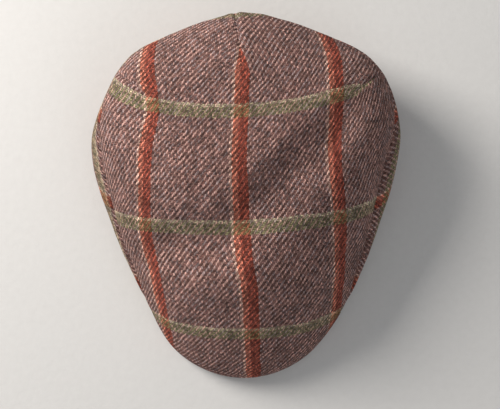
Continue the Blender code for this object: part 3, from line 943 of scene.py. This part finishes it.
def pattern_group(name, numbers, yarns):
    """An empty pattern: its wiring, its inputs by name, and a function that sets its outputs."""
    group = bpy.data.node_groups.new(name, "ShaderNodeTree")
    sockets = [("Place", "Vector")]
    sockets += [(label, "Float") for label in numbers]
    sockets += [(label, "Color") for label in yarns]
    for label, kind in sockets:
        socket = group.interface.new_socket(name=label, in_out="INPUT", socket_type="NodeSocket" + kind)
        if label in numbers:
            socket.default_value = numbers[label]
    outputs = (("Color", "Color"), ("Height", "Float"), ("Roughness", "Float"))
    for label, kind in outputs:
        group.interface.new_socket(name=label, in_out="OUTPUT", socket_type="NodeSocket" + kind)
    wiring = Wiring(group)
    entry = group.nodes.new("NodeGroupInput")
    leave = group.nodes.new("NodeGroupOutput")

    def finish(*values):
        for (label, _), value in zip(outputs, values):
            wiring.feed(leave.inputs[label], value)

    return wiring, {label: Value(wiring, entry.outputs[label]) for label, _ in sockets}, finish


def lump_height(w, across, along):
    """Height of a float: 1 less the powers of the distances from its middle line and middle."""
    a = w.math("ABSOLUTE", w.math("MULTIPLY_ADD", across, 2.0, -1.0)) ** 2.2
    b = w.math("ABSOLUTE", w.math("MULTIPLY_ADD", along, 2.0, -1.0)) ** 3.0
    return w.math("SUBTRACT", 1.0, a, clamp=True) * w.math("SUBTRACT", 1.0, b, clamp=True)


def repeat_place(number, count):
    """Place of a yarn in its repeat: its number modulo the count, from minus half to half."""
    half = count * 0.5
    return (number + half) % count - half


def tweed_group():
    """Two-and-two twill with warp and weft stripes, every yarn its own shade.

    Warp yarn i lies over weft yarn j where i minus j, counted in fours, is 0 or 1. Each float
    is a rounded lump over two yarns. Colours go by yarn number; painted shade darkens a lump
    towards its edge and into the gaps between lumps. Loose fibres carry some of a stripe's
    colour onto the yarns that cross it, and felt over part of the twill. In the weft stripe the
    moss carried onto the warp is mixed half with the dark weft colour, as painted shade between the lumps.
    """
    numbers = {"Warp Pitch": 0.00095, "Pick Pitch": 0.0011, "Check Threads": 71.0, "Check Picks": 74.0}
    w, put, finish = pattern_group("Tweed", {**numbers, "Felting": 0.5}, YARNS)
    place = put["Place"]
    x, y = w.axes(place)
    other = w.result("ShaderNodeVectorMath", (place, (0.31, 0.77, 0.0)), operation="ADD")
    stray = w.noise(place, 520.0, 2.0) - 0.5
    bend = w.noise(other, 90.0, 1.0) - 0.5
    u = x / put["Warp Pitch"] + (stray * 1.9 + bend * 1.6)
    v = y / put["Pick Pitch"] + (stray * 1.5 - bend * 1.1)
    i, j = w.floor(u), w.floor(v)
    fu, fv = u - i, v - j
    step = i - j
    k = step % 4.0
    lump = w.floor(step / 4.0)
    over = k < 1.5
    warp_height = lump_height(w, fu, (1.0 - k + fv) * 0.5)
    weft_height = lump_height(w, fv, (k - 2.0 + fu) * 0.5) * 0.75
    height = w.choose(over, weft_height, warp_height) ** 0.55
    yarn = w.choose(over, j + 0.5, i)
    thread = repeat_place(i, put["Check Threads"])
    pick = repeat_place(j, put["Check Picks"])
    guarded = w.between(thread, -7.2, -5.2)
    rosy = w.between(thread, -5.2, -1.2)
    rusty = w.between(thread, -1.2, 5.8)
    mossy = w.between(pick, -3.2, 3.8)
    strawy = w.between(pick, 3.8, 5.8)
    grey = (w.chance(yarn, lump, 5.0) > 0.62) * 0.60
    warp = w.mix(grey, put["Warp"], put["Heather"])
    for stripe, colour in ((guarded, "Guard"), (rosy, "Rose"), (rusty, "Rust")):
        warp = w.mix(stripe * 0.95, warp, put[colour])
    weft = w.mix(mossy * 0.95, put["Weft"], put["Moss"])
    weft = w.mix(strawy * 0.95, weft, put["Straw"])
    stray_rust = (rosy + rusty) * 0.08
    weft = w.mix(stray_rust * (1.0 - mossy * 0.5), weft, put["Rust"])
    # Partly real, partly painted shade: moss fibres carried onto the warp, in a colour mixed half with the
    # dark weft yarn, which stands in for the shade between the lumps of the weft stripe.
    stray_moss_and_shade = mossy * 0.30 + strawy * 0.18
    warp = w.mix(stray_moss_and_shade, warp, w.mix(0.5, put["Moss"], put["Weft"]))
    patch = w.spread(w.noise(other, 45.0, 3.0, 0.6), -0.6, 1.6)
    knots = w.spread(w.noise(place, 700.0, 2.0, 0.6), -1.1, 2.3)
    cover = w.math("MULTIPLY", w.math("ADD", patch, knots, clamp=True), put["Felting"], clamp=True)
    colour = w.mix(cover, w.mix(over, weft, warp), w.mix(0.5, weft, warp))
    tone = w.spread(w.chance(yarn, lump, 3.0) ** 1.2, 0.52, 1.72)
    fibre = w.spread(w.noise(place, 1900.0, 4.0, 0.75), -0.40, 2.50)
    cloud = w.spread(w.noise(place, 55.0, 3.0, 0.55), 0.70, 1.32)
    # Painted shade: the colour darkens from each lump's middle to its edge and into the gaps between lumps.
    shadow = w.spread(height, 0.03, 1.36)
    fuzz = w.noise(place, 1500.0, 4.0, 0.7) * 0.9
    relief = height * w.spread(cover, 1.0, 0.45)
    finish(w.darkened(colour, tone * fibre * (cloud * shadow)), relief + fuzz, w.spread(fibre, 0.80, 1.0))


def weave_group():
    """Plain weave: warp over weft and weft over warp in turn, each a rounded lump darkened towards its edge
    by painted shade.
    """
    w, put, finish = pattern_group("Plain Weave", {"Pitch": 0.0008, "Shade": 0.45}, ("Yarn",))
    u, v = (axis / put["Pitch"] for axis in w.axes(put["Place"]))
    i, j = w.floor(u), w.floor(v)
    fu, fv = u - i, v - j
    over = (i + j) % 2.0
    height = w.choose(over, lump_height(w, fu, fv), lump_height(w, fv, fu))
    tone = w.spread(w.chance(w.choose(over, i, j), over, 4.0), 0.88, 1.10)
    dirt = w.spread(w.noise(put["Place"], 70.0, 4.0, 0.6), 0.86, 1.12)
    # Painted shade: Shade sets how much darker each lump's edge is than its middle.
    shadow = 1.0 - put["Shade"] + height * put["Shade"]
    finish(w.darkened(put["Yarn"], tone * dirt * shadow), height, w.spread(dirt, 0.55, 0.85))


def ribbed_group():
    """Ribs along one axis, each with a rounded top, twisted fibres, a little dirt and painted shade in the
    grooves between them.
    """
    w, put, finish = pattern_group("Ribs", {"Pitch": 0.0009, "Twist": 0.5}, ("Yarn",))
    u, v = (axis / put["Pitch"] for axis in w.axes(put["Place"]))
    slant = v * 1.4 + u * put["Twist"]
    rib, ply = (w.math("ABSOLUTE", w.math("SINE", wave * math.pi)) for wave in (u, slant))
    height = rib**0.6 * w.spread(ply, 0.72, 1.0)
    dirt = w.noise(put["Place"], 90.0, 4.0, 0.6)
    # Painted shade times dirt: the yarn darkens from each rib's top into the groove beside it, and the noise
    # adds a little dirt.
    level = w.spread(height, 0.55, 1.1) * w.spread(dirt, 0.80, 1.18)
    finish(w.darkened(put["Yarn"], level), height, w.spread(dirt, 0.50, 0.80))


def rgba(colour):
    return (*colour, 1.0)


def shader_material(name, sheen=0.0, sheen_roughness=0.5, specular=0.3):
    """A new material with its shader and a bump node on the normal: wiring, shader, bump."""
    material = bpy.data.materials.new(name)
    material.use_nodes = True
    tree = material.node_tree
    tree.nodes.clear()
    w = Wiring(tree)
    shader = w.node("ShaderNodeBsdfPrincipled")
    end = w.node("ShaderNodeOutputMaterial")
    tree.links.new(shader.outputs[0], end.inputs[0])
    bump = w.node("ShaderNodeBump")
    tree.links.new(bump.outputs[0], shader.inputs["Normal"])
    shader.inputs["Sheen Weight"].default_value = sheen
    shader.inputs["Sheen Roughness"].default_value = sheen_roughness
    shader.inputs["Specular IOR Level"].default_value = specular
    shader.inputs["Metallic"].default_value = 0.0
    return w, shader, bump


def cloth_material(name, pattern, depth, values, **looks):
    """A material with one pattern, laid by the piece's own coordinates, and its bump."""
    w, shader, bump = shader_material(name, **looks)
    group = w.node("ShaderNodeGroup", node_tree=bpy.data.node_groups[pattern])
    w.feed(group.inputs["Place"], w.result("ShaderNodeUVMap", uv_map="cloth"))
    for label, value in values.items():
        group.inputs[label].default_value = value
    w.feed(shader.inputs["Base Color"], Value(w, group.outputs["Color"]))
    w.feed(shader.inputs["Roughness"], Value(w, group.outputs["Roughness"]))
    w.feed(bump.inputs["Height"], Value(w, group.outputs["Height"]))
    bump.inputs["Distance"].default_value = depth


def tweed_material(name, felting):
    sizes, colours = bpy.context.scene.cap_sizes, bpy.context.scene.cap_colours
    values = {
        "Warp Pitch": sizes.warp_pitch,
        "Pick Pitch": sizes.pick_pitch,
        "Check Threads": sizes.check_threads,
        "Check Picks": sizes.check_picks,
        "Felting": felting,
    }
    for yarn in YARNS:
        values[yarn] = rgba(getattr(colours, yarn.lower()))
    cloth_material(name, "Tweed", 0.0007, values, sheen=0.02, sheen_roughness=0.6, specular=0.06)


def woven_material(name, pattern, colour, pitch, depth, **looks):
    cloth_material(name, pattern, depth, {"Pitch": pitch, "Yarn": rgba(colour)}, **looks)


# ---------------------------------------------------------------- stage


def make_floor():
    """A pale floor, 3 m wide, just below the foot's gathers."""
    w, shader, bump = shader_material("pale_floor")
    grain = w.noise(w.result("ShaderNodeTexCoord", output="Object"), 180.0, 4.0, 0.6)
    w.feed(shader.inputs["Base Color"], w.mix(grain, (0.66, 0.65, 0.63, 1.0), (0.72, 0.71, 0.69, 1.0)))
    w.feed(shader.inputs["Roughness"], w.spread(grain, 0.75, 0.9))
    w.feed(bump.inputs["Height"], grain)
    bump.inputs["Distance"].default_value = 0.0002
    x, y = np.meshgrid(np.linspace(-1.5, 1.5, 9), np.linspace(-1.5, 1.5, 9))
    rows = np.stack([x, y, np.full_like(x, -FLOOR_DROP)], axis=-1)
    ribbon("floor", rows, "pale_floor", 0.0)


def make_lights():
    """A soft key from the back left and a fill from the front right, aimed at the cap's middle."""
    scene = bpy.context.scene
    for name, place, size, energy, colour in LIGHTS:
        light = bpy.data.lights.new(name, "AREA")
        light.size = size
        light.energy = energy
        light.color = colour
        lamp = bpy.data.objects.new(name, light)
        lamp.location = place
        lamp.rotation_euler = direction_euler(np.array([0.0, 0.0, 0.05]) - np.array(place))
        scene.collection.objects.link(lamp)
    world = bpy.data.worlds.new("studio")
    world.use_nodes = True
    world.node_tree.nodes["Background"].inputs[0].default_value = (0.95, 0.97, 1.0, 1.0)
    world.node_tree.nodes["Background"].inputs[1].default_value = WORLD_STRENGTH
    scene.world = world
    scene.view_settings.view_transform = "Standard"


def make_camera():
    """The camera looks straight down."""
    camera = bpy.data.cameras.new("camera")
    camera.lens = CAMERA_LENS
    camera.sensor_width = 36.0
    holder = bpy.data.objects.new("camera", camera)
    holder.location = CAMERA_PLACE
    bpy.context.scene.collection.objects.link(holder)
    bpy.context.scene.camera = holder


def direction_euler(direction):
    """Turn that points a lamp's own -Z along a direction: tilt about X, then turn about Z."""
    x, y, z = direction / np.linalg.norm(direction)
    return (math.acos(-z), 0.0, math.atan2(-x, y))


def make_materials():
    """The three cloth patterns, then every material that uses them."""
    colours = bpy.context.scene.cap_colours
    tweed_group()
    weave_group()
    ribbed_group()
    tweed_material("checked_tweed", 0.40)
    woven_material("lining_satin", "Ribs", colours.satin, 0.00035, 0.00003, specular=0.5)
    satin = bpy.data.materials["lining_satin"].node_tree.nodes["Principled BSDF"]
    satin.inputs["Anisotropic"].default_value = 0.4
    woven_material("tape_satin", "Ribs", colours.satin, 0.0006, 0.00008, specular=0.45)
    woven_material("band_grosgrain", "Ribs", colours.band, 0.0011, 0.00025, sheen=0.05)
    woven_material("elastic_web", "Ribs", (0.66, 0.64, 0.58), 0.0016, 0.0004)
    woven_material("linen_canvas", "Plain Weave", colours.canvas, 0.0009, 0.0003)
    woven_material("label_cloth", "Plain Weave", colours.label, 0.0005, 0.00012)
    woven_material("peak_fibreboard", "Plain Weave", (0.07, 0.07, 0.075), 0.0022, 0.0002)
    woven_material("sewing_thread", "Ribs", (0.16, 0.085, 0.065), 0.0004, 0.0001, sheen=0.1)


class CAP_OT_materials(Operator):
    """Build the shader groups and materials."""

    bl_idname = "cap.materials"
    bl_label = "Materials"

    def execute(self, context):
        make_materials()
        return {"FINISHED"}


class CAP_OT_crown(Operator):
    """Build the top of the crown, with its darts and the fold over the peak."""

    bl_idname = "cap.crown"
    bl_label = "Crown Top"

    def execute(self, context):
        make_crown_top()
        return {"FINISHED"}


class CAP_OT_sides(Operator):
    """Build the two side panels."""

    bl_idname = "cap.sides"
    bl_label = "Side Panels"

    def execute(self, context):
        make_sides()
        return {"FINISHED"}


class CAP_OT_interlinings(Operator):
    """Build the canvas interlinings."""

    bl_idname = "cap.interlinings"
    bl_label = "Interlinings"

    def execute(self, context):
        make_interlinings()
        return {"FINISHED"}


class CAP_OT_lining(Operator):
    """Build the satin lining with its tapes and patch."""

    bl_idname = "cap.lining"
    bl_label = "Lining"

    def execute(self, context):
        make_lining_top()
        make_lining_sides()
        make_patch()
        return {"FINISHED"}


class CAP_OT_peak(Operator):
    """Build the peak's board and covers."""

    bl_idname = "cap.peak"
    bl_label = "Peak"

    def execute(self, context):
        make_peak()
        return {"FINISHED"}


class CAP_OT_sweatband(Operator):
    """Build the sweatband, piping, elastic, tab and stitches."""

    bl_idname = "cap.sweatband"
    bl_label = "Sweatband"

    def execute(self, context):
        make_strips()
        make_piping()
        make_tab()
        make_band_stitches()
        return {"FINISHED"}


class CAP_OT_stage(Operator):
    """Build the floor, lights and camera."""

    bl_idname = "cap.stage"
    bl_label = "Stage"

    def execute(self, context):
        make_floor()
        make_camera()
        make_lights()
        return {"FINISHED"}


class CAP_PT_panel(Panel):
    """Lists the cap's sizes, colours and pieces."""

    bl_idname = "CAP_PT_panel"
    bl_label = "Flat Cap"
    bl_space_type = "VIEW_3D"
    bl_region_type = "UI"
    bl_category = "Flat Cap"

    def draw(self, context):
        for group in (context.scene.cap_sizes, context.scene.cap_colours):
            for name in group.__annotations__:
                self.layout.prop(group, name)
        for operator in OPERATORS:
            self.layout.operator(operator.bl_idname)


OPERATORS = (
    CAP_OT_materials,
    CAP_OT_crown,
    CAP_OT_sides,
    CAP_OT_interlinings,
    CAP_OT_lining,
    CAP_OT_peak,
    CAP_OT_sweatband,
    CAP_OT_stage,
)
CLASSES = (CapSizes, CapColours, *OPERATORS, CAP_PT_panel)


def register():
    for cls in CLASSES:
        bpy.utils.register_class(cls)
    bpy.types.Scene.cap_sizes = PointerProperty(type=CapSizes)
    bpy.types.Scene.cap_colours = PointerProperty(type=CapColours)


def unregister():
    del bpy.types.Scene.cap_colours
    del bpy.types.Scene.cap_sizes
    for cls in reversed(CLASSES):
        bpy.utils.unregister_class(cls)


def main():
    register()
    bpy.ops.cap.materials()
    bpy.ops.cap.crown()
    bpy.ops.cap.sides()
    bpy.ops.cap.interlinings()
    bpy.ops.cap.lining()
    bpy.ops.cap.peak()
    bpy.ops.cap.sweatband()
    bpy.ops.cap.stage()


if __name__ == "__main__":
    main()
